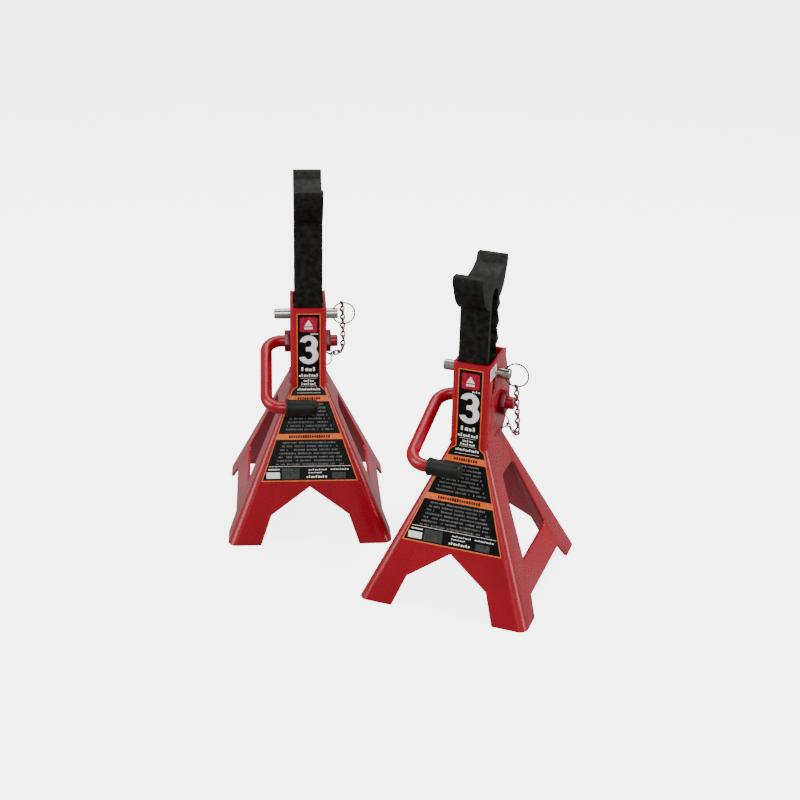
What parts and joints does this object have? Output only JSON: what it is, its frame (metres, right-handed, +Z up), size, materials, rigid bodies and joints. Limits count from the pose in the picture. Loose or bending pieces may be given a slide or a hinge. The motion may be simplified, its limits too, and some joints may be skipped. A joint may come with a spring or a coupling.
{
  "type": "axle jack stand pair",
  "caption": "Pair of pressed-steel ratchet axle stands with toothed posts, forked saddles, bent release handles and locking pins on chains.",
  "frame": {"origin": "on the floor, at the middle of the pair's bounding box", "axes": "+Z up; +X to the right along the left stand's label face; +Y to the left stand's back. The right stand is turned -24.5 degrees about +Z"},
  "size_m": [0.39, 0.3928, 0.3975],
  "materials": {
    "red_enamel": "gloss",
    "dark_red_enamel": "gloss",
    "black_casting": "matte",
    "dark_primer": "matte",
    "strip_steel": "satin",
    "zinc_steel": "satin",
    "ring_steel": "polished",
    "chain_steel": "polished",
    "grip_rubber": "matte",
    "front_print": "gloss",
    "side_print": "gloss"
  },
  "bodies": {
    "left_base": {"left_base_frame": "red_enamel", "left_rear_cover": "red_enamel", "left_guide_strips": "strip_steel", "left_lower_guide": "dark_primer", "left_pivot_bosses": "dark_red_enamel", "left_weld_beads": "red_enamel", "left_chain_anchor": "chain_steel", "left_chain": "chain_steel", "left_front_label": "front_print", "left_side_label": "side_print"},
    "left_post": {"left_ratchet_post": "black_casting", "left_post_stop": "strip_steel"},
    "left_release": {"left_handle": "red_enamel", "left_handle_grip": "grip_rubber", "left_pawl": "dark_primer", "left_pawl_pin": "strip_steel"},
    "left_pin": {"left_locking_pin": "zinc_steel", "left_pin_ring": "ring_steel"},
    "right_base": {"right_base_frame": "red_enamel", "right_rear_cover": "red_enamel", "right_guide_strips": "strip_steel", "right_lower_guide": "dark_primer", "right_pivot_bosses": "dark_red_enamel", "right_weld_beads": "red_enamel", "right_chain_anchor": "chain_steel", "right_chain": "chain_steel", "right_front_label": "front_print", "right_side_label": "side_print"},
    "right_post": {"right_ratchet_post": "black_casting", "right_post_stop": "strip_steel"},
    "right_release": {"right_handle": "red_enamel", "right_handle_grip": "grip_rubber", "right_pawl": "dark_primer", "right_pawl_pin": "strip_steel"},
    "right_pin": {"right_locking_pin": "zinc_steel", "right_pin_ring": "ring_steel"}
  },
  "joints": [
    {"name": "right_stand_slide", "type": "slide", "parent": "left_base", "child": "right_base", "axis": [1, 0, 0], "range_m": [0, 0.25]},
    {"name": "left_post_lift", "type": "slide", "parent": "left_base", "child": "left_post", "axis": [0, 0, 1], "range_m": [-0.0975, 0.0195]},
    {"name": "left_handle_lift", "type": "hinge", "parent": "left_base", "child": "left_release", "pos_m": [-0.10247, 0.11214, 0.199], "axis": [1, 0, 0], "range_deg": [-30, 0]},
    {"name": "left_pin_pull", "type": "slide", "parent": "left_base", "child": "left_pin", "axis": [1, 0, 0], "range_m": [0, 0.06], "deforming": ["left_chain"]},
    {"name": "right_post_lift", "type": "slide", "parent": "right_base", "child": "right_post", "axis": [0, 0, 1], "range_m": [-0.0585, 0.0585]},
    {"name": "right_handle_lift", "type": "hinge", "parent": "right_base", "child": "right_release", "pos_m": [0.07908, -0.0515, 0.199], "axis": [0.91, -0.4147, 0], "range_deg": [-30, 0]},
    {"name": "right_pin_pull", "type": "slide", "parent": "right_base", "child": "right_pin", "axis": [0.91, -0.4147, 0], "range_m": [0, 0.06], "deforming": ["right_chain"]}
  ]
}
